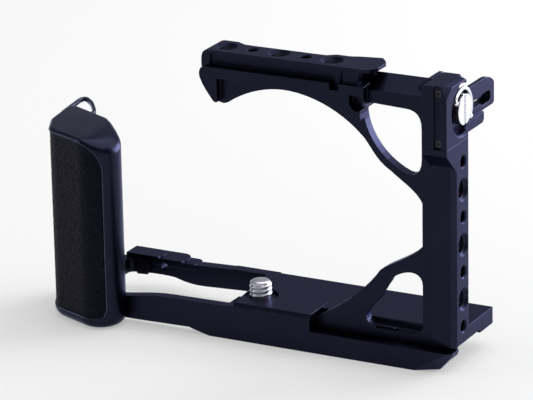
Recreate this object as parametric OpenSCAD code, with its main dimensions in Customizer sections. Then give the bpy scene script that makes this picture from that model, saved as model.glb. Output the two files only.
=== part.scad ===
// Camera cage with a side handle.
// X to the right, Y away from the front, Z up. The origin is on the camera
// screw's axis at the top face of the base plate. Sizes in millimetres.

/* [Base] */
// Y of the base's front face
base_front = -9.67; // [-9.9:0.01:-9.4]
// Y of the plate's back edge
plate_back = 17.9; // [17:0.1:19]
// X of the plate's right end, shared by the pillar and the block
right_x = 62.9; // [62.5:0.1:63.5]
// thickness of the plate
plate_t = 4.8; // [4.6:0.1:5]
// X of the plate's left edge
plate_left = -4; // [-5:0.1:-3]
// Z of the foot's underside
foot_z = -10.86; // [-11.2:0.01:-10.6]
// Y of the foot's back edge
foot_back = 9; // [8.6:0.1:9.6]
// X of the foot's right side
foot_x = 57.6; // [57.4:0.1:57.9]
// thickness of the front arm
arm_t = 3; // [2.8:0.1:3.2]
// Y of the back arm's front face
back_arm_y = 15; // [14.8:0.1:15.2]
// width of the back arm
back_arm_t = 3.5; // [3.3:0.1:3.7]

/* [Camera screw] */
// radius of the camera screw's thread and shank
stud_r = 3.175; // [3:0.005:3.3]
// height of the stud above the plate
stud_h = 4.4; // [4:0.1:5]
// radius of the screw's head
stud_head_r = 6; // [5.6:0.1:6.2]
// thickness of the screw's head
stud_head_t = 3; // [2.6:0.1:3.1]
// radius of the shallow relief round the stud
relief_r = 4.75; // [4.65:0.05:4.8]
// depth of the shallow relief
relief_d = 1.2; // [1.1:0.1:1.4]

/* [Front frame] */
// Y of the brace's front plane
frame_y = -5.4; // [-5.5:0.1:-5.3]
// thickness of the braces
brace_t = 3.1; // [2.9:0.1:3.4]
// Y of the frame's back
frame_back = 1.9; // [1.8:0.1:2]
// X of the pillar's inner face
pillar_x = 52.6; // [52.4:0.1:52.7]
// Y of the pillar's raised front panel
panel_y = -7.44; // [-7.6:0.01:-7.2]
// X where the raised panel starts
panel_x = 56.4; // [56:0.1:56.8]
// Z of the joint between pillar and block
seam_z = 54; // [53.8:0.1:54.2]
// Z of the rail's and the block's top
top_z = 71.6; // [71.4:0.1:71.8]
// thickness of the rail's flange
flange_t = 0.9; // [0.8:0.1:1.1]
// Y of the rail's web
web_y = -4.6; // [-4.8:0.1:-4.4]
// Y of the proud lower body of the rail
proud_y = -7.8; // [-8:0.1:-7.6]
// Z of the ledge on the proud body
ledge_z = 67.2; // [67:0.1:67.4]

/* [Accessory holes] */
// wall radius of a 1/4 inch threaded hole
quarter_r = 2.6; // [2.5:0.01:2.7]
// wall radius of a small locating hole
pin_hole_r = 1.6; // [1.5:0.05:1.7]
// hole-to-hole pitch on the pillar
pillar_pitch = 7.85; // [7.7:0.01:7.95]
// Z of the pillar's lowest hole
pillar_hole_z = 0.9; // [0.7:0.1:1.1]
// Y of the pillar's row of holes
pillar_hole_y = -1.36; // [-1.5:0.01:-1.2]
// hole-to-hole pitch on the rail
rail_pitch = 8.1; // [8:0.01:8.15]
// X of the rail's first hole
rail_hole_x = -8.5; // [-8.6:0.1:-8.4]
// Y of the rail's row of holes
rail_hole_y = -1.2; // [-1.3:0.1:-1.1]

/* [Side block] */
// X of the block's inner face
block_x = 55.7; // [55.6:0.1:55.8]
// Y of the block's front
block_y = -11.9; // [-12:0.1:-11.7]
// room between the D-ring and the round pocket
ring_gap = 0.9; // [0.8:0.05:1]
// depth of the round pocket
pocket_d = 2.6; // [2.5:0.1:2.7]
// Y of the lock screw's axis
lock_y = -1.1; // [-1.2:0.1:-1]
// depth of the lock screw's axis below the top
lock_drop = 9; // [8.9:0.1:9.1]
// room between the lock screw's head and the D-ring
head_gap = 1; // [0.9:0.05:1.1]
// radius of the lock screw's shank
lock_r = 2; // [1.9:0.05:2.1]
// outer radius of the D-ring
ring_r = 6.2; // [6.1:0.05:6.25]
// radius of the D-ring's wire
wire_r = 0.5; // [0.46:0.01:0.52]

/* [Handle] */
// Z of the handle's top
grip_top = 45.1; // [44.8:0.1:45.4]
// radius of the rounding from the top to the inner side
grip_round = 6.2; // [5.9:0.1:6.5]
// radius round the bottom edge
grip_low_r = 2.9; // [2.8:0.1:3]
// radius round the top edge
grip_high_r = 1.2; // [1.1:0.1:1.3]
// how far the pad lies below the shell's surface
pad_sink = 0.35; // [0.3:0.05:0.4]
// thickness of the pad
pad_t = 1.5; // [1.4:0.05:1.6]

/* [Fits] */
// radial clearance of a running fit
run_gap = 0.06; // [0.04:0.01:0.08]
// clearance round parts that are fixed
fix_gap = 0.03; // [0.02:0.01:0.05]

/* [Hidden] */
$fn = 48;
black = [0.06, 0.06, 0.08];
steel = [0.75, 0.75, 0.77];

// frame screw and dowel positions [x, y] on the base
frame_screw_at = [[27.5, -1.5], [42, -1.5], [53.6, -1.7]];
frame_dowel_at = [[34.6, -1.5], [47.6, -1.5]];
// Z that the frame's screws and dowels reach
frame_pin_z = -1.95;
front_arm_at = [[-42.6, -8.17], [-46.8, -8.17]];
back_arm_at = [[-52.25, -2.8], [-52.25, 0.8]];
// plan of the handle: centre and radius of its five corners
grip_a = [-52.7, -7.4, 8.6];
grip_n = [-44.5, -12.4, 7.05];
grip_g = [-50.9, -0.85, 3.6];
grip_b = [-62.3, 5.75, 2.6];
grip_m = [-58.6, -3.4, 5];
// the handle's cover lies on the flat between corners g and b
cov_mid = [-55.25, 5.25];
cov_a = 154.4;
// places of the cover's screws up the handle
cov_screw_z = [2.4, 38.6];
m2_r = 1;
m3_r = 1.5;
// rounding at the camera screw's tip
stud_tip = 0.9;
// how far the relief lies off the stud, so that it stays clear of the plate's left edge
relief_off = 0.35;
tongue_z = [-9.2, -3.3];
// X of the strap wing's two faces
wing_x = [59.7, 60.9];
// X of the strap bracket's tongue in the block
bracket_x = [57.2, 59.2];
lock_z = top_z - lock_drop;
// Z of the strap bracket's lower and upper edge, and [y, z] of its dowel
bracket_z = [lock_z - 4.1, lock_z + 3.5];
dowel_at = [lock_y - 3.3, lock_z - 2.2];
dowel_r = 0.9;
// Y of the strap slot's two round ends, and their radius
slot_y = [15.5, 19.2];
slot_r = 1.6;
// the pocket and the lock screw's head follow the D-ring
pocket_r = ring_r + ring_gap;
lock_head_r = ring_r - 2 * wire_r - head_gap;

// points on a cubic curve, without its first point
function bez(a, b, c, d, n = 8) = [for (i = [1:n]) let (t = i / n, s = 1 - t)
  s * s * s * a + 3 * s * s * t * b + 3 * s * t * t * c + t * t * t * d];

// draws a plan in X and Z and extrudes it along Y from y0 to y1
module along_y(y0, y1) {
  translate([0, y1, 0]) rotate([90, 0, 0]) linear_extrude(y1 - y0) children();
}

// draws a section in Y and Z and extrudes it along X from x0 to x1
module along_x(x0, x1) {
  translate([x0, 0, 0]) rotate([90, 0, 90]) linear_extrude(x1 - x0) children();
}

module rod_x(x0, x1, y, z, r) {
  translate([x0, y, z]) rotate([0, 90, 0]) cylinder(r = r, h = x1 - x0);
}

module rod_y(x, y0, y1, z, r) {
  translate([x, y1, z]) rotate([90, 0, 0]) cylinder(r = r, h = y1 - y0);
}

module rod_z(x, y, z0, z1, r) {
  translate([x, y, z0]) cylinder(r = r, h = z1 - z0);
}

module box(x0, x1, y0, y1, z0, z1) {
  translate([x0, y0, z0]) cube([x1 - x0, y1 - y0, z1 - z0]);
}

// ------------------------------------------------------------- base plate

module front_arm_side() {
  polygon(concat(
    [[22, foot_z], [-11.5, foot_z], [-16.6, -9.6], [-17.8, -9.2], [-33.7, -9.5],
      [-38, tongue_z[0] - 0.3], [-49, tongue_z[0] - 0.3], [-49, tongue_z[1]],
      [-40, tongue_z[1] + 0.1]],
    bez([-40, -3.2], [-35, -2.7], [-31, -1.5], [-24, -1.4], 6),
    [[-7.2, -1.2], [-3.8, -0.9], [22, -0.9]]));
}

module back_arm_side() {
  polygon(concat(
    [[-4, 0], [-16, -0.1], [-27, -0.5], [-33, -0.8], [-41, -1.3], [-58, -1.4],
      [-58, -5.7], [-49.7, -5.6]],
    bez([-49.7, -5.6], [-44, -4.9], [-38, -5], [-35.6, -5.3], 5),
    bez([-35.6, -5.3], [-32.5, -6.3], [-30, -6.7], [-26, -6.6], 5),
    [[-13, -6], [-4, -5.6]]));
}

module back_arm_plan() {
  y0 = back_arm_y;
  y1 = back_arm_y + back_arm_t;
  x0 = -54;
  difference() {
    union() {
      translate([x0 + 5, y0]) square([plate_left - x0 + 1, back_arm_t]);
      translate([x0 + 5, y1 - 5]) circle(r = 5);
      translate([x0, -4]) square([3.6, y1 - 1]);
    }
    translate([x0 + 3.6, y0 - 20]) square([60, 18.5]);
    translate([x0 + 5.1, y0 - 1.5]) circle(r = 1.5);
  }
}

// one of the stepped round lobes on the back arm
module lobe(x0, x1, y1, z1, r) {
  translate([0, 0, -2.2]) linear_extrude(z1 + 2.2) {
    translate([x1 - r, y1 - r]) circle(r = r);
    translate([x0, back_arm_y - 0.2]) square([x1 - r - x0, y1 - back_arm_y + 0.2]);
    translate([x1 - r, back_arm_y - 0.2]) square([r - 0.6, y1 - r - back_arm_y + 0.2]);
  }
}

module base_plate() color(black) difference() {
  union() {
    translate([0, 0, -plate_t]) linear_extrude(plate_t) polygon([[plate_left + 0.1, base_front],
      [right_x, base_front], [right_x, plate_back], [-5.8, plate_back], [-5.8, back_arm_y],
      [plate_left - 1.2, 6], [plate_left + 0.1, base_front + arm_t]]);
    // the step where the back arm leaves the plate
    box(-17.2, plate_left + 1, back_arm_y, plate_back + 0.6, -plate_t, 0);
    // foot
    translate([0, 0, foot_z]) linear_extrude(-plate_t - foot_z) polygon([[-3.9, base_front],
      [foot_x, base_front], [foot_x, foot_back - 2.6], [foot_x - 3.1, foot_back], [-3.9, foot_back]]);
    box(-3.9, foot_x - 4, base_front, foot_back, -plate_t - 1, -plate_t + 1);
    box(-11.8, -3, base_front, foot_back, foot_z, -plate_t - 0.6);
    // slanted gusset under the front strip's right end
    along_y(base_front, frame_y + 0.8) polygon([[foot_x - 1, -plate_t], [foot_x - 1, foot_z],
      [foot_x + 0.4, foot_z], [right_x, -plate_t - 0.6], [right_x, -plate_t]]);
    along_y(base_front, base_front + arm_t) front_arm_side();
    intersection() {
      along_y(-5, plate_back + 4) back_arm_side();
      translate([0, 0, -8]) linear_extrude(10) back_arm_plan();
    }
    lobe(-51.5, -40.4, 20.9, 0.2, 3);
    lobe(-44.5, -32.7, 21.7, -0.15, 3.4);
    lobe(-37, -28.4, 20.1, -0.5, 2.4);
  }
  // rebate that the front frame's flange stands in
  box(20 - fix_gap, 70, base_front - 1, frame_back + fix_gap, -plate_t, 2);
  // chamfers: plate's front edge, foot's front corner and right side
  along_x(-20, 21) polygon([[base_front - 1, 1], [base_front - 1, -0.9],
    [base_front, -0.9], [base_front + 1.1, 0.01], [base_front + 1.1, 1]]);
  translate([51.8, base_front, foot_z]) rotate([0, 129.2, -59.7]) translate([-30, -30, 0])
    cube([60, 60, 30]);
  // chamfer under the plate's right end
  along_y(frame_back, 9.5) polygon([[right_x - 1, -plate_t - 0.01], [right_x + 1, -plate_t - 0.01],
    [right_x + 1, -plate_t + 1], [right_x, -plate_t + 1]]);
  // camera screw
  translate([0, 0, -20]) cylinder(r = stud_r + run_gap, h = 30);
  translate([relief_off, 0, -relief_d]) cylinder(r = relief_r, h = 5);
  translate([0, 0, -20]) cylinder(r = stud_head_r + 0.6, h = 14);
  // tripod socket in the foot
  translate([15.5, 0, foot_z - 1]) cylinder(r = quarter_r, h = 9);
  translate([15.5, 0, foot_z - 0.01]) cylinder(r1 = 3.3, r2 = quarter_r, h = 0.7);
  // the front frame's screws and dowels
  for (p = frame_screw_at) {
    translate([p[0], p[1], -20]) cylinder(r = m3_r + 0.2, h = 20);
    translate([p[0], p[1], foot_z - 1]) cylinder(r = 3 + fix_gap, h = 2.8);
  }
  for (p = frame_dowel_at)
    translate([p[0], p[1], -8]) cylinder(r = m3_r + fix_gap, h = 6);
  // the handle's screws in both tongues
  for (p = front_arm_at)
    translate([p[0], p[1], -12]) cylinder(r = m2_r + fix_gap, h = 7.2);
  for (p = back_arm_at)
    translate([p[0], p[1], -12]) cylinder(r = m2_r + fix_gap, h = 9.8);
  // small hole through the back arm
  rod_y(-39.1, 5, 30, -2.6, 1.25);
  // foot's shallow underside channel
  box(20.5, 24, -8, 7.4, foot_z - 1, foot_z + 0.8);
}

// ------------------------------------------------------------ front frame

module bay_edge() {
  // front outline of the frame in X and Z, openings not yet cut
  polygon(concat(
    [[20, -plate_t], [right_x, -plate_t], [right_x, seam_z - 0.05], [block_x, seam_z - 0.05],
      [block_x, 66], [-12, 66], [-13.4, 64.6], [-12, 61.7], [-10.5, 59.2]],
    bez([-10.5, 59.2], [-9.9, 57.9], [-9.4, 57.2], [-8.9, 56.9], 3),
    [[-7.4, 56.6], [-6.1, 57]],
    bez([-6.1, 57], [-2.5, 59.6], [4, 62.7], [11, 62.7], 10),
    bez([11, 62.7], [19, 62.7], [27.8, 59.3], [34.2, 53.4], 12),
    bez([34.2, 53.4], [37.3, 50.9], [38.3, 46.6], [43.3, 43.9], 8),
    bez([43.3, 43.9], [46.6, 41.4], [51.2, 39], [pillar_x, 35.9], 8),
    [[pillar_x, 23.6]],
    bez([pillar_x, 23.6], [49, 19.6], [43, 17.6], [39.8, 15], 8),
    bez([39.8, 15], [35.5, 8.6], [26.5, 1.6], [20, -1.5], 10)));
}

module upper_opening() {
  polygon(concat(
    bez([38.6, 62.6], [36.6, 62.6], [35.2, 61.6], [35.3, 59.4], 5),
    bez([35.3, 59.4], [36, 52.8], [41, 46.4], [48, 43.7], 10),
    bez([48, 43.7], [50.3, 43], [52.5, 44.4], [52.5, 48.2], 6),
    [[52.5, 57]],
    bez([52.5, 57], [52.5, 60.5], [50.8, 61.8], [48.4, 62], 6)));
}

module lower_opening() {
  polygon(concat(
    bez([38.1, -1.5], [36, -1.4], [34.9, 0.2], [35.5, 2], 5),
    bez([35.5, 2], [36.8, 4.4], [40.9, 7.4], [42.1, 11.3], 6),
    bez([42.1, 11.3], [42.9, 13.6], [46.6, 15.6], [49.2, 15.6], 6),
    bez([49.2, 15.6], [51.2, 15.6], [pillar_x, 14.4], [pillar_x, 12.2], 5),
    [[pillar_x, 0.8]],
    bez([pillar_x, 0.8], [pillar_x, -0.6], [51.9, -1.5], [50.8, -1.5], 4)));
}

// the proud front face of the rail, down to its relief and the turned-down end
module proud_face() {
  polygon(concat(
    [[36.4, ledge_z], [-12.2, ledge_z]],
    bez([-12.2, ledge_z], [-13.7, ledge_z], [-13.9, 65], [-13.5, 64], 4),
    bez([-13.5, 64], [-12.6, 61.6], [-11.2, 60], [-9.9, 58.2], 4),
    bez([-9.9, 58.2], [-9.4, 57.4], [-8.8, 57.2], [-8.35, 57.4], 3),
    [[-8.35, 64.2], [23, 64.2]],
    bez([23, 64.2], [26.5, 64.2], [28.6, 62.6], [30, 59.6], 6),
    [[33, 56.6], [35.4, 57.6], [36.4, 61]]));
}

module rail_plan() {
  // flange seen from above
  polygon(concat(
    [[-11.4, -6.2], [35.6, -6.2]],
    bez([35.6, -6.2], [36.6, -6.2], [38, -4.4], [38.5, -2.9], 4),
    [[38.5, 2.2], [37.6, 3.8], [35.7, 6.1], [29.4, 4.9], [27, 4], [22.8, 4],
      [20.4, 2.3], [-2.4, 2.3], [-4.5, 2.4], [-7.4, 4], [-11.6, 4], [-12.3, 3.3],
      [-12.3, -5.3]]));
}

module front_frame() color(black) difference() {
  union() {
    difference() {
      along_y(frame_y, frame_y + brace_t) bay_edge();
      along_y(-20, 20) lower_opening();
    }
    // flange that stands in the base's rebate, with a lower front lip
    box(20, right_x, frame_y, frame_back, -plate_t, -1.5);
    box(20, right_x, frame_y + brace_t, frame_back, -plate_t, 0);
    // full-depth top: crescent, beam and rail
    along_y(frame_y, frame_back) intersection() {
      bay_edge();
      polygon([[-20, 56], [0, 56], [0, 57.8], [32.6, 57.8], [32.6, 60.2], [36.4, 60.2],
        [36.4, 78], [-20, 78]]);
    }
    along_x(36, block_x) polygon([[frame_y, 61.8], [frame_y, 66],
      [frame_back, 69.1], [frame_back, 61.8]]);
    along_y(proud_y, frame_y + 0.1) proud_face();
    along_y(frame_y, frame_back + 0.4) polygon([[36, 64.5], [36, ledge_z],
      [-12.2, ledge_z], [-13.4, 66.2], [-13.4, 64.5]]);
    box(-11.6, 34, web_y, frame_back + 0.4, 66, top_z - flange_t);
    box(29.4, 34, -6, 0, 66, top_z - flange_t);
    box(33, 36, -0.2, frame_back + 0.4, 66, top_z - flange_t);
    translate([0, 0, top_z - flange_t]) linear_extrude(flange_t) rail_plan();
    // wall that closes the rail's left end
    along_y(frame_y + 0.1, frame_back + 0.4) polygon(concat([[-11.8, 65], [-13.4, 65],
      [-14.2, 66.6], [-14.2, 68.4]], bez([-14.2, 68.4], [-14.2, 70.1], [-13.6, 71.2], [-12.4, 71.3], 5),
      [[-11.5, 71.4], [-11.5, 65]]));
    // wall beside the block and the ramp up to it
    along_y(frame_y, frame_back) polygon([[pillar_x + 0.2, 53], [pillar_x + 0.2, 67.4],
      [53.6, top_z - 1.2], [54.5, top_z - 0.2], [block_x - 0.1, top_z - 0.2],
      [block_x - 0.1, 53]]);
    along_y(-2.5, frame_back) polygon([[50.2, 66], [50.2, 68.3],
      [54.4, top_z - 0.2], [55, top_z - 0.2], [55, 66]]);
    // pillar, raised panel and shoulder
    box(pillar_x, right_x, frame_y, frame_back, -plate_t, seam_z - 0.05);
    translate([0, 0, -plate_t]) linear_extrude(48 + plate_t) polygon([[panel_x, frame_y + 0.1],
      [panel_x, panel_y], [right_x - 0.8, panel_y], [right_x, -5.5], [right_x, frame_y + 0.1]]);
    along_x(block_x, right_x) polygon([[frame_y + 0.1, 45.9], [panel_y, 47.9],
      [block_y, 52.2], [block_y, seam_z - 0.05], [frame_y + 0.1, seam_z - 0.05]]);
    // tenon and hooked lug that the block's screws reach
    tenon(0);
    lug(0);
  }
  along_y(-20, 20) upper_opening();
  // slanted lower end of the raised panel
  along_y(-9, frame_y) polygon([[54, -9], [54, -0.7], [panel_x, -1.7],
    [right_x + 1, -4.5], [right_x + 1, -9]]);
  // chamfer under the right end
  along_y(-20, 20) polygon([[right_x - 1, -plate_t - 0.01], [right_x + 1, -plate_t - 0.01],
    [right_x + 1, -plate_t + 1], [right_x, -plate_t + 1]]);
  // lead-in at the opening's sill
  along_x(38.3, 50.6) polygon([[frame_y - 1, -1.4], [frame_y - 1, -2.3],
    [frame_y, -2.3], [frame_y + 0.8, -1.5], [frame_y + 0.8, -1.4]]);
  // round groove beside the rail's panel
  rod_z(27.6, -6.3, 65.3, top_z - flange_t, 2.1);
  // three-cornered pocket between the braces
  translate([0.6, 0, 0.4]) along_y(-10, -5) polygon(concat([[31.4, 64.2], [35.3, 64]],
    bez([35.3, 64], [35.8, 63.6], [35.6, 61.4], [35, 60.2], 4),
    bez([35, 60.2], [34, 59.2], [32.6, 59.6], [31.4, 61.6], 4)));
  // holes along the rail
  for (i = [0:4]) {
    x = rail_hole_x + i * rail_pitch;
    r = i % 2 == 0 ? quarter_r : pin_hole_r;
    c = i % 2 == 0 ? 0.8 : 0.35;
    rod_z(x, rail_hole_y, i % 2 == 0 ? 64.8 : 66.6, 80, r);
    translate([x, rail_hole_y, top_z - c]) cylinder(r1 = r, r2 = r + c + 0.01, h = c + 0.01);
  }
  // holes along the pillar
  for (i = [0:6]) {
    z = pillar_hole_z + i * pillar_pitch;
    r = i % 2 == 1 ? quarter_r : pin_hole_r;
    c = i % 2 == 1 ? 0.7 : 0.35;
    rod_x(i % 2 == 1 ? 40 : 58, 70, pillar_hole_y, z, r);
    translate([right_x - c, pillar_hole_y, z]) rotate([0, 90, 0])
      cylinder(r1 = r, r2 = r + c + 0.01, h = c + 0.01);
  }
  // screws and dowels from the base
  for (p = frame_screw_at) rod_z(p[0], p[1], -20, frame_pin_z + 0.15, m3_r + fix_gap);
  for (p = frame_dowel_at) rod_z(p[0], p[1], -20, frame_pin_z + 0.15, m3_r + fix_gap);
  // lock screw, its clip's room, and the block's screws
  rod_x(40, 60, lock_y, lock_z, lock_r + run_gap);
  rod_x(40, pillar_x + 1.5, lock_y, lock_z, 3.6);
  for (z = block_screw_z) rod_y(block_screw_x, -20, lug_y[1] - 0.2, z, m2_r + fix_gap);
}

// ------------------------------------------------------------- side block

// where the block's two screws lie, and the depth of what they reach
block_screw_x = 60.15;
block_screw_z = [seam_z + 1.4, top_z - 2.2];
lug_y = [block_y + 2.6, lock_y - pocket_r + 2.5];

// square tenon on the frame's shoulder; g > 0 draws its room, open to the inner face
module tenon(g) {
  box(g > 0 ? block_x - 1 : 58.4, 61.8 + g, lug_y[0] - g, lug_y[1] + g,
    seam_z - 1, block_screw_z[0] + 1.1 + g);
}

// hooked lug at the wall's top; g > 0 draws its room, open to the inner face and the back
module lug(g) {
  z0 = block_screw_z[1] - 1.1 - g;
  z1 = block_screw_z[1] + 1 + g;
  x0 = g > 0 ? block_x - 1 : block_x + 0.3;
  box(block_x - 1, 58.2 + g, frame_y + 0.1, g > 0 ? 5 : frame_back - 0.7, z0, z1);
  box(x0, 58.2 + g, lug_y[0] - g, frame_y + 1, z0, z1);
  box(x0, 61.8 + g, lug_y[0] - g, lug_y[1] + g, z0, z1);
}

module side_block() color(black) difference() {
  box(block_x, right_x, block_y, frame_back, seam_z + 0.05, top_z - 0.1);
  // round pocket, open at the back
  rod_x(right_x - pocket_d, 70, lock_y, lock_z, pocket_r);
  translate([right_x - 0.6, lock_y, lock_z]) rotate([0, 90, 0])
    cylinder(r1 = pocket_r, r2 = pocket_r + 0.62, h = 0.62);
  // channel in the front face
  box(59, 61.3, block_y - 1, block_y + 0.7, seam_z - 1, top_z + 1);
  // chamfered edges
  along_y(-30, 30) polygon([[61.6, top_z - 0.1], [70, top_z - 6], [70, top_z + 1], [61.6, top_z + 1]]);
  along_x(50, 70) polygon([[frame_back - 0.7, top_z], [frame_back + 0.05, top_z - 2.2],
    [frame_back + 3, top_z - 2.2], [frame_back + 3, top_z + 3], [frame_back - 0.7, top_z + 3]]);
  along_x(61, 70) polygon([[frame_back - 2.7, top_z + 0.4], [frame_back + 0.3, top_z - 2.9],
    [frame_back + 3, top_z - 2.9], [frame_back + 3, top_z + 4], [frame_back - 2.7, top_z + 4]]);
  translate([right_x, block_y, top_z - 3.7]) rotate([0, -25, -20]) translate([0, -5, -5]) cube([5, 10, 15]);
  along_y(-30, 30) polygon([[block_x - 1, top_z + 0.4], [block_x, top_z - 0.6],
    [block_x + 0.6, top_z], [block_x + 0.6, top_z + 1.4]]);
  // slot for the bracket's tongue
  box(bracket_x[0] - 0.05, bracket_x[1] + 0.05, -6.6, 5, bracket_z[0] - 0.05, bracket_z[1] + 0.5);
  // rooms for the frame's tenon and lug
  tenon(0.05);
  lug(0.05);
  // lock screw, the bracket's dowel and the block's screws
  rod_x(50, 70, lock_y, lock_z, lock_r + run_gap);
  rod_x(50, 60, dowel_at[0], dowel_at[1], dowel_r + fix_gap);
  for (z = block_screw_z) {
    rod_y(block_screw_x, -20, lug_y[0] + 0.2, z, m2_r + 0.1);
    rod_y(block_screw_x, -20, block_y + 1.5, z, 1.15);
  }
}

module strap_bracket() color(black) difference() {
  union() {
    // tongue in the block and the root that joins it to the wing
    box(bracket_x[0], bracket_x[1], -6.4, 2.6, bracket_z[0], bracket_z[1]);
    box(bracket_x[0], wing_x[1], 2, 5, bracket_z[0], bracket_z[1]);
    // thin wing, thicker round its slot
    translate([0, 0, lock_z]) along_x(wing_x[0], wing_x[1]) polygon(concat([[2, -6.6], [14.7, -6.6],
      [14.7, -5.4], [16.6, -5.3], [23.2, -5], [23.2, 0.8]],
      bez([23.2, 0.8], [22, 2.4], [19, 3.5], [16.6, 3.5], 6), [[2, 3.5]]));
    box(bracket_x[0] + 0.2, wing_x[1], 10.5, 22.5, lock_z - 5.3, lock_z + 0.8);
    // lip
    translate([0, 0, lock_z]) along_x(56, wing_x[1] + 0.8) polygon([[2, -8.2], [13.9, -8.2],
      [14.8, -7.4], [14.8, -5.3], [2, -5.3]]);
  }
  // strap slot and the ramp into it
  translate([0, 0, lock_z - 2.3]) along_x(50, 70) {
    for (y = slot_y) translate([y, 0]) circle(r = slot_r, $fn = 32);
    translate([slot_y[0], -slot_r]) square([slot_y[1] - slot_y[0], 2 * slot_r]);
  }
  translate([0, 0, lock_z - 3.1]) linear_extrude(2) polygon([[wing_x[1] + 1, 9.7], [wing_x[1], 9.7],
    [58.6, 14.5], [58.6, 16], [wing_x[1] + 1, 16]]);
  // the round pocket goes on across the bracket
  rod_x(right_x - pocket_d, 70, lock_y, lock_z, pocket_r + 0.2);
  rod_x(50, 70, lock_y, lock_z, lock_r + 0.15);
  rod_x(50, 70, dowel_at[0], dowel_at[1], dowel_r + fix_gap);
}

// -------------------------------------------------- lock screw and D-ring

// X of the D-ring's pin, the pin's turn about the screw's axis, and the clip's X
pin_x = right_x - 0.4;
ring_turn = 147;
clip_x = pillar_x + 0.95;
// radii of the pin and of the ring's eyes
pin_r = 0.4;
eye_r = 0.75;

module lock_screw() color(steel) difference() {
  union() {
    rod_x(right_x - pocket_d + 0.1, right_x + 0.5, lock_y, lock_z, lock_head_r);
    rod_x(pillar_x + 0.4, right_x - pocket_d + 0.2, lock_y, lock_z, lock_r);
  }
  // coin slot
  translate([right_x + 0.2, lock_y - 0.55, lock_z - 6]) cube([3, 1.1, 12]);
  // cross hole for the ring's pin
  translate([pin_x, lock_y, lock_z]) rotate([ring_turn - 90, 0, 0])
    cylinder(r = pin_r + fix_gap, h = 12, center = true);
  // groove for the clip
  translate([clip_x, lock_y, lock_z]) rotate([0, 90, 0]) difference() {
    translate([0, 0, -0.3]) cylinder(r = 4, h = 0.6);
    translate([0, 0, -1]) cylinder(r = lock_r - 0.35, h = 2);
  }
}

module lock_clip() color(steel) translate([clip_x, lock_y, lock_z]) rotate([0, 90, 0]) difference() {
  translate([0, 0, -0.27]) cylinder(r = 3.1, h = 0.54);
  translate([0, 0, -2]) cylinder(r = lock_r - 0.33, h = 4);
  translate([-0.8, 0, -2]) cube([1.6, 6, 4]);
}

module ring_pin() color(steel) translate([pin_x, lock_y, lock_z]) rotate([ring_turn - 90, 0, 0])
  cylinder(r = pin_r, h = 2 * (ring_r - 0.1), center = true);

// half of a round wire ring whose straight ends are eyes on the pin
module lock_ring() color(steel) translate([pin_x, lock_y, lock_z])
  rotate([ring_turn - 90, 0, 0]) difference() {
  union() {
    intersection() {
      rotate([0, 90, 0]) rotate_extrude($fn = 64) translate([ring_r - wire_r, 0])
        circle(r = wire_r, $fn = 20);
      translate([-3, 0, -10]) cube([6, 10, 20]);
    }
    for (s = [-1, 1]) translate([0, 0, s * (ring_r - 0.7)])
      cylinder(r = eye_r, h = 1.4, center = true, $fn = 32);
  }
  cylinder(r = pin_r + run_gap, h = 20, center = true);
}

// ----------------------------------------------------------- camera screw

module camera_screw() color(steel) difference() {
  union() {
    rod_z(0, 0, -6.9, stud_h - stud_tip, stud_r);
    translate([0, 0, stud_h - stud_tip]) rotate_extrude() polygon(concat([[0, 0]],
      [for (a = [0:15:90]) [stud_r - stud_tip + stud_tip * cos(a), stud_tip * sin(a)]], [[0, stud_tip]]));
    rod_z(0, 0, -6.9 - stud_head_t, -6.9, stud_head_r);
  }
  translate([-10, -0.6, -12]) cube([20, 1.2, 3.6]);
  translate([0, 0, -1]) difference() {
    cylinder(r = 5, h = 1);
    translate([0, 0, -1]) cylinder(r = stud_r - 0.3, h = 3);
  }
}

module camera_screw_clip() color(steel) difference() {
  rod_z(0, 0, -0.97, -0.53, relief_r - 2 * relief_off);
  rod_z(0, 0, -3, 3, stud_r - 0.27);
  translate([-1.1, 0, -3]) cube([2.2, 8, 6]);
}

module camera_screw_washer() color(steel) difference() {
  rod_z(0, 0, -6.88, -6.08, stud_head_r - 0.3);
  rod_z(0, 0, -10, 3, stud_r + 0.08);
}

// ----------------------------------------------------------------- handle

// the handle's solid, smaller by d all round
module grip_solid(d, z0, z1, rl, rh) {
  hull() for (c = [grip_a, grip_n, grip_g, grip_b, grip_m])
    translate([c[0], c[1], 0]) rotate_extrude($fn = 40) polygon(concat(
      [[0, z0], [max(0.2, c[2] - d - rl), z0]],
      [for (a = [18:18:90]) [c[2] - d - rl + rl * sin(a), z0 + rl - rl * cos(a)]],
      [for (a = [0:30:90]) [c[2] - d - rh + rh * cos(a), z1 - rh + rh * sin(a)]],
      [[0, z1]]));
}

// plan of the zone that the pad covers, larger by g
module pad_plan(g) {
  polygon([[grip_n[0] - g, grip_n[1]], [-40.1 + g, -17.9 + g], [-36.1 + g, -23], [-36, -30],
    [-75, -30], [-75, grip_b[1] - 0.95 + g], [-60, grip_b[1] - 0.95 + g]]);
}

// front view of the pad's window, larger by g
module pad_window(g) {
  polygon(concat([[-80, -7.5 - g], [-42.6, -7.5 - g]],
    bez([-42.6, -7.5 - g], [-41, -7.5 - g], [-40.1 + g, -6.6], [-40.1 + g, -5], 4),
    [[-40.1 + g, 36.4]],
    bez([-40.1 + g, 36.4], [-40.1 + g, 40.8], [-43.7, 44.2 + g], [-48, 44.2 + g], 8),
    [[-80, 44.2 + g]]));
}

module pad_zone(g) {
  intersection() {
    translate([0, 0, -20]) linear_extrude(80) pad_plan(g);
    along_y(-40, 20) pad_window(g);
  }
}

// the handle's core along the cover and up the handle, and the width of its ribs
core_x = [-4.9, 2.3];
core_z = [4.3, 36.7];
core_rib = 1.1;

// places children on the cover's face: x along it, y into the handle
module on_cover() {
  translate([cov_mid[0], cov_mid[1], 0]) rotate([0, 0, cov_a]) children();
}

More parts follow.
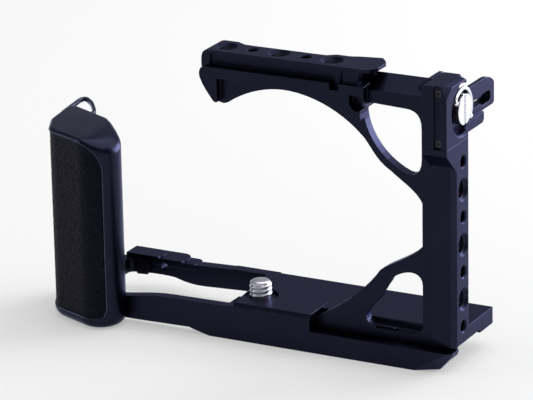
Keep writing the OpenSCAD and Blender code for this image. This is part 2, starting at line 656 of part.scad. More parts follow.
// strap eye, just below the handle's rounded top edge
module strap_eye() difference() {
  translate([0, 0, grip_top - 3.4]) linear_extrude(2.6) polygon(concat([[-65.3, 3.6],
    [-66.2, 10.7], [-66.5, 13.3]],
    bez([-66.5, 13.3], [-67.1, 16.6], [-67.7, 20.1], [-65.4, 19.5], 6),
    [[-61.7, 16.2], [-58.9, 12.4], [-56.3, 8.7], [-56.8, 4.5]]));
  translate([0, 0, 30]) linear_extrude(20) polygon(concat([[-61.4, 10.8]],
    bez([-61.4, 10.8], [-60.4, 11.5], [-60.6, 12.9], [-63.2, 16.8], 5),
    bez([-63.2, 16.8], [-64.6, 18.5], [-65.7, 18.3], [-65.4, 15.9], 5),
    bez([-65.4, 15.9], [-64.7, 12.1], [-63.4, 10.5], [-61.4, 10.8], 5)));
}

module grip_shell() color(black) difference() {
  union() {
    intersection() {
      grip_solid(0, foot_z, grip_top, grip_low_r, grip_high_r);
      // large rounding from the top into the inner side
      along_y(-40, 40) union() {
        translate([-80, foot_z - 1]) square([80 + grip_n[0] + grip_n[2] - grip_round, grip_top - foot_z + 1]);
        translate([-80, foot_z - 1]) square([80 - 30, grip_top - foot_z + 1 - grip_round]);
        translate([grip_n[0] + grip_n[2] - grip_round, grip_top - grip_round])
          circle(r = grip_round, $fn = 64);
      }
    }
    strap_eye();
  }
  // seat of the pad
  difference() {
    pad_zone(0.05);
    grip_solid(pad_sink + pad_t, foot_z - 5, grip_top + 5, 0.5, 0.5);
  }
  // room for the core, closed by the cover
  on_cover() translate([core_x[0] - 0.1, 1.6, core_z[0] - 0.1])
    cube([core_x[1] - core_x[0] + 0.2, 4.8, core_z[1] - core_z[0] + 0.2]);
  on_cover() translate([-5.6, -5, 0.4]) cube([11.2, 6.6, 40.2]);
  on_cover() for (z = cov_screw_z) translate([0, 0, z]) rotate([-90, 0, 0])
    cylinder(r = 0.8 + fix_gap, h = 6, $fn = 24);
  // sockets of the two arms
  box(-49.05, -30, base_front - 0.05, base_front + arm_t + 0.05, tongue_z[0] - 0.35, tongue_z[1] + 0.15);
  box(-54.05, -50.35, -4.05, 20, -5.8, -1.25);
  for (p = concat(front_arm_at, back_arm_at)) {
    translate([p[0], p[1], -12]) cylinder(r = m2_r + 0.1, h = 7);
    translate([p[0], p[1], foot_z - 1]) cylinder(r = 1.7 + fix_gap, h = 2.1);
  }
}

module grip_pad() color([0.1, 0.1, 0.11]) intersection() {
  difference() {
    grip_solid(pad_sink, foot_z - 1, grip_top + 1, grip_low_r, grip_high_r);
    grip_solid(pad_sink + pad_t - 0.02, foot_z - 5, grip_top + 5, 0.5, 0.5);
  }
  pad_zone(0);
}

module grip_core() color([0.2, 0.2, 0.2]) on_cover() difference() {
  translate([core_x[0], 1.7, core_z[0]]) cube([core_x[1] - core_x[0], 4.6, core_z[1] - core_z[0]]);
  // four windows between the ribs
  window = (core_z[1] - core_z[0] - 5 * core_rib) / 4;
  for (i = [0:3]) translate([core_x[0] + core_rib, 0, core_z[0] + core_rib + i * (window + core_rib)])
    cube([core_x[1] - core_x[0] - 2 * core_rib, 5.2, window]);
}

module grip_cover() color(black) on_cover() difference() {
  translate([-5.55, 0, 0.45]) cube([11.1, 1.6, 40.1]);
  for (z = cov_screw_z) translate([0, -1, z]) rotate([-90, 0, 0]) {
    cylinder(r = 0.9, h = 6, $fn = 24);
    cylinder(r = 1.55 + fix_gap, h = 1.8, $fn = 32);
  }
}

module grip_cover_screws() color(steel) on_cover() for (z = cov_screw_z)
  translate([0, 0, z]) rotate([-90, 0, 0]) difference() {
    union() {
      translate([0, 0, 0.05]) cylinder(r = 1.55, h = 0.72, $fn = 32);
      translate([0, 0, 0.7]) cylinder(r = 0.8, h = 4.6, $fn = 24);
    }
    translate([0, 0, -0.1]) cylinder(r = 0.7, h = 0.6, $fn = 6);
  }

module arm_screw(p, z1) {
  translate([p[0], p[1], 0]) difference() {
    union() {
      translate([0, 0, foot_z + 0.1]) cylinder(r = 1.7, h = 0.95);
      translate([0, 0, foot_z + 1]) cylinder(r = m2_r, h = z1 - foot_z - 1, $fn = 32);
    }
    translate([0, 0, foot_z]) cylinder(r = 0.8, h = 0.7, $fn = 6);
  }
}

module front_arm_screws() color(steel) for (p = front_arm_at) arm_screw(p, -5);

module back_arm_screws() color(steel) for (p = back_arm_at) arm_screw(p, -2.4);

// ----------------------------------------------------- frame's fasteners

module frame_screws() color(steel) for (p = frame_screw_at) translate([p[0], p[1], 0]) difference() {
  union() {
    translate([0, 0, foot_z + 0.15]) cylinder(r = 3, h = 1.65);
    translate([0, 0, foot_z + 1.7]) cylinder(r = m3_r, h = frame_pin_z - foot_z - 1.7, $fn = 32);
  }
  translate([0, 0, foot_z]) cylinder(r = 1.4, h = 1.3, $fn = 6);
}

module frame_dowels() color(steel) for (p = frame_dowel_at)
  translate([p[0], p[1], -7.9]) cylinder(r = m3_r, h = frame_pin_z + 7.9, $fn = 32);

module block_screws() color(steel) for (z = block_screw_z) difference() {
  union() {
    rod_y(block_screw_x, block_y + 0.75, block_y + 1.5, z, 1.1);
    rod_y(block_screw_x, block_y + 1.4, lug_y[1] - 0.3, z, m2_r);
  }
  rod_y(block_screw_x, block_y, block_y + 1.2, z, 0.5, $fn = 6);
}

module bracket_dowel() color(steel)
  rod_x(block_x + 0.1, wing_x[1] - 1, dowel_at[0], dowel_at[1], dowel_r);

base_plate();
front_frame();
side_block();
strap_bracket();
lock_screw();
lock_ring();
ring_pin();
lock_clip();
camera_screw();
camera_screw_clip();
camera_screw_washer();
grip_shell();
grip_pad();
grip_core();
grip_cover();
grip_cover_screws();
front_arm_screws();
back_arm_screws();
frame_screws();
frame_dowels();
block_screws();
bracket_dowel();
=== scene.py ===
import math

import bmesh
import bpy
import numpy as np
from mathutils import Matrix, Vector


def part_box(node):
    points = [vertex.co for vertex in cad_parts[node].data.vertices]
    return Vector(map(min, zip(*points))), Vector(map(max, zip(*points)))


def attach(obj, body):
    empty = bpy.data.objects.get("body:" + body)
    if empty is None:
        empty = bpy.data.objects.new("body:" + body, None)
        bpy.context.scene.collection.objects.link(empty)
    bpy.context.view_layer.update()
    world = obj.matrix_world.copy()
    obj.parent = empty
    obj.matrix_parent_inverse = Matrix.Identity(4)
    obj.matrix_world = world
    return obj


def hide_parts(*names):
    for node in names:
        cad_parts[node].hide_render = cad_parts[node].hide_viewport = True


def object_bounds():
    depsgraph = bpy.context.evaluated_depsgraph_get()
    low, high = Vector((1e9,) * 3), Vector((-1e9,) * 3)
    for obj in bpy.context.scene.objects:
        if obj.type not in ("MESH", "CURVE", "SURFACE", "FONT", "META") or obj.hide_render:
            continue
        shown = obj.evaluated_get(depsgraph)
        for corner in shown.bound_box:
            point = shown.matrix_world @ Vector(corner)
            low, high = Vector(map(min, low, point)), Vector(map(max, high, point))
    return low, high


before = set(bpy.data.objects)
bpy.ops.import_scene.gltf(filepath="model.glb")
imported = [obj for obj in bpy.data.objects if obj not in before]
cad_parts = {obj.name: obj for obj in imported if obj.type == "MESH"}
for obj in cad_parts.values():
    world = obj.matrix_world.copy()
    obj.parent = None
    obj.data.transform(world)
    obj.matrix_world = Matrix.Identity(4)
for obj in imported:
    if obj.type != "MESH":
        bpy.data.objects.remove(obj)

cad_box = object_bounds()


# ------------------------------------------------------------------ base plate
# The base is one aluminium plate with its foot and two arms, milled from bar,
# bead blasted and dyed black in the anodising bath. Its edges are broken.

MM = 0.001
EDGE_ROUND, PIT_DEPTH = 0.25 * MM, 0.02 * MM
# cosines between the true and the rounded normal where the edges' lightening, partly wear and partly painted
# highlight, starts and is full
COSINE_UNBENT, COSINE_BENT = 0.995, 0.86
GLOSS_SPREAD = 0.05


def add(tree, kind, **values):
    """Adds a node and sets its inputs; a pair (node, output) makes a link."""
    node = tree.nodes.new(kind)
    for name, value in values.items():
        key = name.replace("_", " ")
        if isinstance(value, tuple) and isinstance(value[0], bpy.types.Node):
            tree.links.new(value[0].outputs[value[1]], node.inputs[key])
        elif hasattr(node, name) and key not in node.inputs:
            setattr(node, name, value)
        else:
            node.inputs[key].default_value = value
    return node


def effect(name, inputs, outputs):
    """An empty shader node group with float inputs and the outputs named."""
    group = bpy.data.node_groups.new(name, "ShaderNodeTree")
    for label, value in inputs.items():
        socket = group.interface.new_socket(label, in_out="INPUT", socket_type="NodeSocketFloat")
        socket.default_value = value
    for label, kind in outputs.items():
        group.interface.new_socket(label, in_out="OUTPUT", socket_type=kind)
    return group, group.nodes.new("NodeGroupInput"), group.nodes.new("NodeGroupOutput")


def blasted_grain():
    """Bead-blasted skin: fine noise for the height, slow noise for the tone."""
    group, given, out = effect(
        "blasted_grain", {"Grain": 5200.0, "Cloud": 70.0},
        {"Height": "NodeSocketFloat", "Tone": "NodeSocketFloat"})
    place = add(group, "ShaderNodeTexCoord")
    fine = add(group, "ShaderNodeTexNoise", Vector=(place, "Object"), Scale=(given, "Grain"),
               Detail=3.0, Roughness=0.6)
    slow = add(group, "ShaderNodeTexNoise", Vector=(place, "Object"), Scale=(given, "Cloud"),
               Detail=4.0, Roughness=0.55)
    group.links.new(fine.outputs["Fac"], out.inputs["Height"])
    group.links.new(slow.outputs["Fac"], out.inputs["Tone"])
    return group


def rounded_edge_wear_and_highlight():
    """Rounded-edge normal, and a mask that is 1 where the edge bends it; edges are lightened by it, partly
    as rubbed wear and partly as painted highlight.
    """
    group, given, out = effect(
        "rounded_edge_wear_and_highlight", {"Radius": EDGE_ROUND, "Patches": 300.0},
        {"Normal": "NodeSocketVector", "Wear_And_Highlight": "NodeSocketFloat"})
    edge = add(group, "ShaderNodeBevel", samples=6, Radius=(given, "Radius"))
    true = add(group, "ShaderNodeNewGeometry")
    same = group.nodes.new("ShaderNodeVectorMath")
    same.operation = "DOT_PRODUCT"
    group.links.new(edge.outputs["Normal"], same.inputs[0])
    group.links.new(true.outputs["Normal"], same.inputs[1])
    bent = add(group, "ShaderNodeMapRange", Value=(same, "Value"),
               From_Min=COSINE_UNBENT, From_Max=COSINE_BENT)
    place = add(group, "ShaderNodeTexCoord")
    patch = add(group, "ShaderNodeTexNoise", Vector=(place, "Object"), Scale=(given, "Patches"), Detail=4.0)
    wear_and_highlight = group.nodes.new("ShaderNodeMath")
    wear_and_highlight.operation = "MULTIPLY"
    group.links.new(bent.outputs["Result"], wear_and_highlight.inputs[0])
    group.links.new(patch.outputs["Fac"], wear_and_highlight.inputs[1])
    group.links.new(edge.outputs["Normal"], out.inputs["Normal"])
    group.links.new(wear_and_highlight.outputs["Value"], out.inputs["Wear_And_Highlight"])
    return group


GRAIN = blasted_grain()
EDGE = rounded_edge_wear_and_highlight()


def grouped(tree, group, **values):
    """Places a shader group in a material with its own values."""
    node = tree.nodes.new("ShaderNodeGroup")
    node.node_tree = group
    for label, value in values.items():
        node.inputs[label].default_value = value
    return node


# the places of a mix node's colours among its inputs and outputs
COLOUR_LOW, COLOUR_HIGH, COLOUR_MIXED = 6, 7, 2


def blend_colour(tree, factor, low, high):
    """Mixes two colours by a mask; low and high are RGB or a (node, output) pair."""
    mix = tree.nodes.new("ShaderNodeMix")
    mix.data_type = "RGBA"
    tree.links.new(factor[0].outputs[factor[1]], mix.inputs["Factor"])
    for socket, value in ((mix.inputs[COLOUR_LOW], low), (mix.inputs[COLOUR_HIGH], high)):
        if isinstance(value[0], bpy.types.Node):
            tree.links.new(value[0].outputs[value[1]], socket)
        else:
            socket.default_value = (*value, 1.0)
    return mix, COLOUR_MIXED


def remap(tree, source, low, high):
    """Carries a mask from the range 0 to 1 over to the range low to high."""
    return add(tree, "ShaderNodeMapRange", Value=source, To_Min=low, To_Max=high)


def coated_metal(name, dark, light, wear_and_highlight, rough, grain=5200.0, depth=0.12, radius=EDGE_ROUND, wear_and_highlight_level=0.5,
                 gleam=(0.74, 0.75, 1.0)):
    """Dyed aluminium: cloudy black, edges lightened partly as rubbed wear and partly as painted highlight,
    and a blasted skin as bump.
    """
    material = bpy.data.materials.new(name)
    material.use_nodes = True
    tree = material.node_tree
    shader = tree.nodes["Principled BSDF"]
    shader.inputs["Metallic"].default_value = 1.0
    shader.inputs["Specular Tint"].default_value = (*gleam, 1.0)
    skin = grouped(tree, GRAIN, Grain=grain)
    edge = grouped(tree, EDGE, Radius=radius)
    black = blend_colour(tree, (skin, "Tone"), dark, light)
    wear_and_highlight_mask = remap(tree, (edge, "Wear_And_Highlight"), 0.0, wear_and_highlight_level)
    # the lighter edge colour is partly rubbed wear and partly a painted highlight along the edges
    colour = blend_colour(tree, (wear_and_highlight_mask, "Result"), black, wear_and_highlight)
    tree.links.new(colour[0].outputs[colour[1]], shader.inputs["Base Color"])
    gloss = remap(tree, (skin, "Tone"), rough - GLOSS_SPREAD, rough + GLOSS_SPREAD)
    tree.links.new(gloss.outputs["Result"], shader.inputs["Roughness"])
    bump = add(tree, "ShaderNodeBump", Height=(skin, "Height"), Normal=(edge, "Normal"),
               Strength=depth, Distance=PIT_DEPTH)
    tree.links.new(bump.outputs["Normal"], shader.inputs["Normal"])
    return material


def finish_node(node, material):
    """Gives a CAD node its material in every slot; its mesh is left alone."""
    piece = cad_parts[node]
    if not piece.material_slots:
        piece.data.materials.append(material)
    for place in piece.material_slots:
        place.material = material


anodised = coated_metal(
    "anodised", dark=(0.010, 0.011, 0.022), light=(0.017, 0.018, 0.034),
    wear_and_highlight=(0.09, 0.092, 0.14), rough=0.36)
finish_node("base_plate", anodised)


# --------------------------------------------------------------- camera screw
# The camera screw is turned from steel and polished. A clip keeps it in the
# plate, and a thin washer lies under its head.

TURNING_MARKS, MARK_STRENGTH, MARK_DEPTH = 9000.0, 0.05, 0.01 * MM
STEEL_EDGE = 0.2 * MM


def turned_steel(name, colour, shade, rough, axis, centre):
    """Bright steel with turning marks: noise of the distance from the axis."""
    material = bpy.data.materials.new(name)
    material.use_nodes = True
    tree = material.node_tree
    shader = tree.nodes["Principled BSDF"]
    shader.inputs["Metallic"].default_value = 1.0
    place = add(tree, "ShaderNodeTexCoord")
    centred = add(tree, "ShaderNodeMapping", Vector=(place, "Object"))
    centred.inputs["Location"].default_value = tuple(-c for c in centre)
    across = tree.nodes.new("ShaderNodeVectorMath")
    across.operation = "MULTIPLY"
    tree.links.new(centred.outputs["Vector"], across.inputs[0])
    across.inputs[1].default_value = tuple(0.0 if i == axis else 1.0 for i in range(3))
    radius = tree.nodes.new("ShaderNodeVectorMath")
    radius.operation = "LENGTH"
    tree.links.new(across.outputs["Vector"], radius.inputs[0])
    rings = tree.nodes.new("ShaderNodeTexNoise")
    rings.noise_dimensions = "1D"
    tree.links.new(radius.outputs["Value"], rings.inputs["W"])
    rings.inputs["Scale"].default_value = TURNING_MARKS
    tone = blend_colour(tree, (rings, "Fac"), shade, colour)
    tree.links.new(tone[0].outputs[tone[1]], shader.inputs["Base Color"])
    gloss = remap(tree, (rings, "Fac"), rough - GLOSS_SPREAD, rough + GLOSS_SPREAD)
    tree.links.new(gloss.outputs["Result"], shader.inputs["Roughness"])
    edge = grouped(tree, EDGE, Radius=STEEL_EDGE)
    bump = add(tree, "ShaderNodeBump", Height=(rings, "Fac"), Normal=(edge, "Normal"),
               Strength=MARK_STRENGTH, Distance=MARK_DEPTH)
    tree.links.new(bump.outputs["Normal"], shader.inputs["Normal"])
    return material


polished_screw = turned_steel(
    "polished_screw", colour=(0.70, 0.70, 0.76), shade=(0.58, 0.58, 0.65), rough=0.30,
    axis=2, centre=(0, 0, 0))
spring_steel = turned_steel(
    "spring_steel", colour=(0.50, 0.50, 0.53), shade=(0.38, 0.38, 0.41), rough=0.34,
    axis=2, centre=(0, 0, 0))
STUD_RADIUS, STUD_TOP, TIP, TIP_ARC = 3.175 * MM, 4.4 * MM, 1.4 * MM, 0.98
CLIP_GROOVE, GROOVE_LOW = 0.3 * MM, -1.0 * MM
HEAD_RADIUS, HEAD_LOW, HEAD_HIGH, HEAD_BEVEL = 6.0 * MM, -9.9 * MM, -6.9 * MM, 0.3 * MM
SLOT_DEEP, SLOT_HALF_WIDTH = 1.5 * MM, 0.6 * MM
THREAD_PITCH, THREAD_DEPTH = 1.27 * MM, 0.34 * MM
# the stud's triangle wave is stretched and cut, so that crests and roots are flat
WAVE_STRETCH, WAVE_CUT = 1.5, 0.3
SHANK_ROWS, SCREW_SIDES = 150, 72
# the shank and the head's slices run this far into each other
JOIN = 0.05 * MM


def array_mesh(name, points, faces):
    """A mesh of an array of points and of faces given by point numbers."""
    mesh = bpy.data.meshes.new(name)
    mesh.from_pydata(points.reshape(-1, 3).tolist(), [], [tuple(map(int, face)) for face in faces])
    return mesh


def softened(mesh, degrees):
    """Shades a mesh smooth, except over edges that bend by more than this."""
    mesh.polygons.foreach_set("use_smooth", np.ones(len(mesh.polygons), bool))
    mesh.set_sharp_from_angle(angle=math.radians(degrees))


def merged_mesh(name, parts, material):
    """One smooth mesh of several closed parts, each given as points and faces."""
    points, faces, start = [], [], 0
    for part_points, part_faces in parts:
        flat = part_points.reshape(-1, 3)
        points.append(flat)
        faces += [tuple(int(v) + start for v in face) for face in part_faces]
        start += len(flat)
    mesh = array_mesh(name, np.concatenate(points), faces)
    mesh.materials.append(material)
    softened(mesh, 35)
    return mesh


def placed(name, mesh, body):
    """Links a mesh as a finished piece that rides on its body."""
    piece = bpy.data.objects.new(name, mesh)
    bpy.context.scene.collection.objects.link(piece)
    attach(piece, body)
    return piece


def grid_faces(rows, columns):
    """Quads between rings of points, where each ring's end joins its start."""
    i, j = np.meshgrid(np.arange(rows - 1), np.arange(columns), indexing="ij")
    along = (j + 1) % columns
    corners = (i * columns + j, i * columns + along, (i + 1) * columns + along, (i + 1) * columns + j)
    return np.stack([c.ravel() for c in corners], axis=1)


def capped(points):
    """Faces of a stack of rings, with one many-sided face at either end."""
    rows, columns = points.shape[:2]
    last = (rows - 1) * columns
    below = [tuple(range(columns - 1, -1, -1))]
    above = [tuple(range(last, last + columns))]
    return points, [tuple(f) for f in grid_faces(rows, columns)] + below + above


def threaded_shank():
    """Stud from the head to its tip. Its radius is the thread's outer radius
    less the depth times a triangle wave, whose phase is the height over the
    pitch less the angle over a full turn. The thread fades into the tip, which
    is nearly a quarter circle. From the groove's low end up to the plate's top
    the stud is no wider than the groove of its clip."""
    angle = np.linspace(0, 2 * math.pi, SCREW_SIDES, endpoint=False)[None, :]
    height = np.linspace(HEAD_HIGH - JOIN, STUD_TOP, SHANK_ROWS)[:, None]
    phase = (height / THREAD_PITCH - angle / (2 * math.pi)) % 1.0
    groove = THREAD_DEPTH * np.clip(np.abs(2 * phase - 1) * WAVE_STRETCH - WAVE_CUT, 0, 1)
    into_tip = np.clip((height - (STUD_TOP - TIP)) / TIP, 0, 1)
    shape = STUD_RADIUS - TIP * (1 - np.sqrt(1 - TIP_ARC * into_tip ** 2)) - groove * (1 - into_tip ** 2)
    in_groove = (height < 0) & (height > GROOVE_LOW)
    shape = np.where(in_groove, np.minimum(shape, STUD_RADIUS - CLIP_GROOVE), shape)
    points = np.stack([shape * np.cos(angle), shape * np.sin(angle), height + 0 * angle], axis=-1)
    return capped(points)


def head_disc(low, high, side=0):
    """Round head slice; side 1 or -1 keeps only the half beyond the coin slot."""
    angle = np.linspace(0, 2 * math.pi, SCREW_SIDES, endpoint=False)[None, :]
    height = np.array([low, low + HEAD_BEVEL, high - HEAD_BEVEL, high])[:, None]
    radius = HEAD_RADIUS - HEAD_BEVEL * np.array([bool(side), 0, 0, not side])[:, None]
    x, y = radius * np.cos(angle), radius * np.sin(angle)
    if side:
        y = side * np.maximum(side * y, SLOT_HALF_WIDTH)
    return capped(np.stack([x, y, height + 0 * angle], axis=-1))


screw_parts = [threaded_shank(), head_disc(HEAD_LOW + SLOT_DEEP, HEAD_HIGH)]
screw_parts += [head_disc(HEAD_LOW, HEAD_LOW + SLOT_DEEP + JOIN, side) for side in (1, -1)]
turned_screw = placed(
    "turned_camera_screw", merged_mesh("turned_camera_screw", screw_parts, polished_screw),
    "camera_screw_turning")
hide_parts("camera_screw")
black_spring = coated_metal(
    "black_spring", dark=(0.008, 0.008, 0.012), light=(0.014, 0.014, 0.020),
    wear_and_highlight=(0.05, 0.05, 0.06), rough=0.45, depth=0.05)
finish_node("camera_screw_clip", black_spring)
finish_node("camera_screw_washer", spring_steel)


# ---------------------------------------------------------------- front frame
# The frame is milled from one aluminium block: rail, braces and pillar. Its
# large holes are tapped, so each one shows the crests of its thread inside.

finish_node("front_frame", anodised)
HOLE_WALL = 2.6 * MM
# how far inside the hole's wall the thread's roots and the sleeve's back lie
ROOTS_INSIDE, BACK_INSIDE = 0.02 * MM, 0.005 * MM
SLEEVE_SIDES, ROWS_PER_PITCH = 36, 10


def wrapped_faces(rows, columns):
    """Quads of a grid that closes on itself both ways, as on a ring."""
    i, j = np.meshgrid(np.arange(rows), np.arange(columns), indexing="ij")
    down, along = (i + 1) % rows, (j + 1) % columns
    corners = (i * columns + j, down * columns + j, down * columns + along, i * columns + along)
    return np.stack([c.ravel() for c in corners], axis=1)


def thread_in_hole(name, mouth, into, length):
    """Tapped thread as a closed sleeve. Going down the hole the inner radius is
    the wall less the thread's depth times a triangle wave, whose phase goes
    once round with the angle, so that the crest climbs as a helix. It fades
    out over one pitch at both ends."""
    steps = int(length / THREAD_PITCH * ROWS_PER_PITCH)
    angle = np.linspace(0, 2 * math.pi, SLEEVE_SIDES, endpoint=False)[None, :]
    down = np.linspace(0, length, steps)[:, None]
    phase = (down / THREAD_PITCH - angle / (2 * math.pi)) % 1.0
    fade = np.clip(np.minimum(down, length - down) / THREAD_PITCH, 0, 1)
    inner = HOLE_WALL - ROOTS_INSIDE - THREAD_DEPTH * (1 - np.abs(2 * phase - 1)) * fade
    radius = np.concatenate([inner, np.full_like(inner, HOLE_WALL - BACK_INSIDE)])
    depth = np.concatenate([down, down[::-1]]) + 0 * angle
    side, other = {"x": ((0, 1, 0), (0, 0, 1)), "z": ((1, 0, 0), (0, 1, 0))}[into[0]]
    axis = np.cross(side, other) * (-1 if into[1] == "-" else 1)
    points = (np.array(mouth) + radius[..., None] * (
        np.cos(angle)[..., None] * np.array(side) + np.sin(angle)[..., None] * np.array(other))
        + depth[..., None] * axis)
    mesh = array_mesh(name, points, wrapped_faces(2 * steps, SLEEVE_SIDES))
    mesh.materials.append(anodised)
    softened(mesh, 180)
    placed(name, mesh, "cage")


# both rows by their first place, the step from hole to hole and their Y
PILLAR_ROW_Z, PILLAR_STEP, PILLAR_ROW_Y = 0.9 * MM, 7.85 * MM, -1.36 * MM
RAIL_ROW_X, RAIL_STEP, RAIL_ROW_Y = -8.5 * MM, 8.1 * MM, -1.2 * MM
RAIL_TOP = 71.6 * MM
pillar_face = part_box("front_frame")[1].x
# how far below the face each thread starts, and how long it is
PILLAR_SUNK, PILLAR_LONG = 0.75 * MM, 8.8 * MM
RAIL_SUNK, RAIL_LONG = 0.85 * MM, 5.8 * MM
TRIPOD_MOUTH, TRIPOD_LONG = (15.5 * MM, 0.0, -9.9 * MM), 6.4 * MM
for number, step in enumerate((1, 3, 5), 1):
    mouth = (pillar_face - PILLAR_SUNK, PILLAR_ROW_Y, PILLAR_ROW_Z + PILLAR_STEP * step)
    thread_in_hole(f"pillar_thread_{number}", mouth, "x-", PILLAR_LONG)
for number, step in enumerate((0, 2, 4), 1):
    mouth = (RAIL_ROW_X + RAIL_STEP * step, RAIL_ROW_Y, RAIL_TOP - RAIL_SUNK)
    thread_in_hole(f"rail_thread_{number}", mouth, "z-", RAIL_LONG)
thread_in_hole("tripod_thread", TRIPOD_MOUTH, "z+", TRIPOD_LONG)


# ------------------------------------------------------- block, wing and pins
# The side block and the strap wing are milled and dyed like the frame. Their
# screws are blackened steel, and the hidden dowels are ground bright.

dark_steel = coated_metal(
    "dark_steel", dark=(0.03, 0.03, 0.035), light=(0.05, 0.05, 0.056),
    wear_and_highlight=(0.2, 0.2, 0.22), rough=0.33, depth=0.06)
finish_node("side_block", anodised)
finish_node("strap_bracket", anodised)
for node in ("block_screws", "frame_screws", "front_arm_screws", "back_arm_screws", "grip_cover_screws"):
    finish_node(node, dark_steel)
for node in ("frame_dowels", "bracket_dowel"):
    finish_node(node, spring_steel)


# ------------------------------------------------------- lock screw and D-ring
# The coin-slot screw is turned and polished steel. The bent wire ring folds
# on a cross pin through the screw's head, and a clip holds the screw captive.

LOCK_AXIS = (0.0, -1.1 * MM, 62.6 * MM)
polished_lock = turned_steel(
    "polished_lock", colour=(0.84, 0.84, 0.88), shade=(0.72, 0.72, 0.78), rough=0.26,
    axis=0, centre=LOCK_AXIS)
for node in ("lock_screw", "ring_pin"):
    finish_node(node, polished_lock)
finish_node("lock_clip", spring_steel)
finish_node("lock_ring", polished_lock)


# --------------------------------------------------------------- handle shell
# The handle is a hollow aluminium shell with a large rounding on its inner
# side. It is tumbled smooth before dyeing, so it is glossier than the frame.

# its strong lilac edge colour is mostly a painted highlight along the pad seat's rim and the shell's edges,
# with a little rubbed wear
shell_finish = coated_metal(
    "shell_finish", dark=(0.012, 0.013, 0.026), light=(0.019, 0.020, 0.038),
    wear_and_highlight=(0.22, 0.22, 0.34), rough=0.27, grain=3800.0, depth=0.05, radius=0.5 * MM, wear_and_highlight_level=0.7,
    gleam=(0.8, 0.81, 1.0))
cover_finish = coated_metal(
    "cover_finish", dark=(0.010, 0.010, 0.018), light=(0.017, 0.017, 0.028),
    wear_and_highlight=(0.08, 0.08, 0.11), rough=0.38)
filler = coated_metal(
    "filler", dark=(0.045, 0.045, 0.05), light=(0.07, 0.07, 0.075), wear_and_highlight=(0.1, 0.1, 0.1),
    rough=0.6, grain=2500.0, depth=0.2, wear_and_highlight_level=0.1)

# corner circles of the plan as x, y and radius, and the heights
GRIP_CORNERS = np.array([
    (-52.7, -7.4, 8.6), (-44.5, -12.4, 7.05), (-50.9, -0.85, 3.6), (-62.3, 5.75, 2.6),
    (-58.6, -3.4, 5.0)]) * MM
GRIP_LOW, GRIP_HIGH = -10.86 * MM, 45.1 * MM
LOW_ROUND, HIGH_ROUND = 2.9 * MM, 1.2 * MM
# the crown is a quarter round of this radius on the inner side, carried along
# Y, and its surface leaves the flat top at this X
CROWN_RADIUS, CROWN_X = 6.6 * MM, -46.3 * MM
FRONT_BLEND = 3.4 * MM
# the skin's grid, and how often the crown's line is averaged
PLAN_STEPS, SKIN_SPACING, CROWN_PASSES = 4000, 0.7 * MM, 40
SMALLEST_ROUND, ARC_ROWS = 0.1 * MM, 20


def plan_path(first, last, spacing):
    """Walks round the handle's plan. In each direction the outline's point is
    the one that reaches furthest: a corner's centre plus its radius that way.
    Returns points, outward directions and corner radii at even spacing."""
    turn = np.linspace(first, last, PLAN_STEPS)
    heading = np.stack([np.cos(turn), np.sin(turn)], axis=-1)
    corner = GRIP_CORNERS[np.argmax(heading @ GRIP_CORNERS[:, :2].T + GRIP_CORNERS[:, 2], axis=-1)]
    path = corner[:, :2] + corner[:, 2:] * heading
    along = np.concatenate([[0], np.cumsum(np.linalg.norm(np.diff(path, axis=0), axis=-1))])
    even = np.linspace(0, along[-1], int(along[-1] / spacing) + 1)
    place = np.stack([np.interp(even, along, path[:, i]) for i in (0, 1)], axis=-1)
    turned = np.interp(even, along, turn)
    return place, np.stack([np.cos(turned), np.sin(turned)], axis=-1), np.interp(even, along, corner[:, 2])


def handle_skin():
    """Closed skin of the handle. The wall stands on the plan. Its foot is a
    quarter circle. Its head is a quarter ellipse from the wall to the top's
    edge, which is never right of the crown's line. The wall ends lower by the
    crown's circle at its X, plus a small rounding that fades out there, and
    on the front corner by a further blend, a sine of the way into the crown.
    Averaging neighbours takes the cusp off that line."""
    edge, heading, corner = (part[:-1] for part in plan_path(-math.pi, math.pi, SKIN_SPACING))
    bend = np.linspace(0, math.pi / 2, ARC_ROWS)[:, None]
    inset = np.minimum(LOW_ROUND * (1 - np.sin(bend)), corner - SMALLEST_ROUND)
    foot = edge - inset[..., None] * heading
    foot_z = GRIP_LOW + LOW_ROUND * (1 - np.cos(bend)) + 0 * inset
    brim = edge - HIGH_ROUND * heading
    brim[:, 0] = np.minimum(brim[:, 0], CROWN_X)
    into_crown = np.clip((edge[:, 0] - edge[:, 0].max()) / CROWN_RADIUS + 1, 0, 1)
    drop = HIGH_ROUND * (1 - into_crown ** 2) + CROWN_RADIUS * (1 - np.sqrt(1 - into_crown ** 2))
    drop += FRONT_BLEND * np.sin(math.pi * into_crown) * np.sqrt(np.clip(-heading[:, 1], 0, 1))
    for _ in range(CROWN_PASSES):
        drop = (np.roll(drop, 1) + 2 * drop + np.roll(drop, -1)) / 4
    drop = np.maximum(drop, HIGH_ROUND)
    head = edge + (brim - edge) * (1 - np.cos(bend))[..., None]
    head_z = GRIP_HIGH - drop * (1 - np.sin(bend))
    plan, level = np.concatenate([foot, head]), np.concatenate([foot_z, head_z])
    return capped(np.concatenate([plan, level[..., None]], axis=-1))


def block_shape(x, y, z, at=(0.0, 0.0), turn=0.0):
    """Closed box between the x, y and z limits in millimetres, turned in plan."""
    corners = np.array([(x[0], y[0]), (x[1], y[0]), (x[1], y[1]), (x[0], y[1])]) * MM
    spin = np.array([(math.cos(turn), math.sin(turn)), (-math.sin(turn), math.cos(turn))])
    plan = corners @ spin + np.array(at) * MM
    return capped(np.stack([np.column_stack([plan, np.full(4, level * MM)]) for level in z]))


HOLE_SIDES, CURVE_POINTS = 32, 40


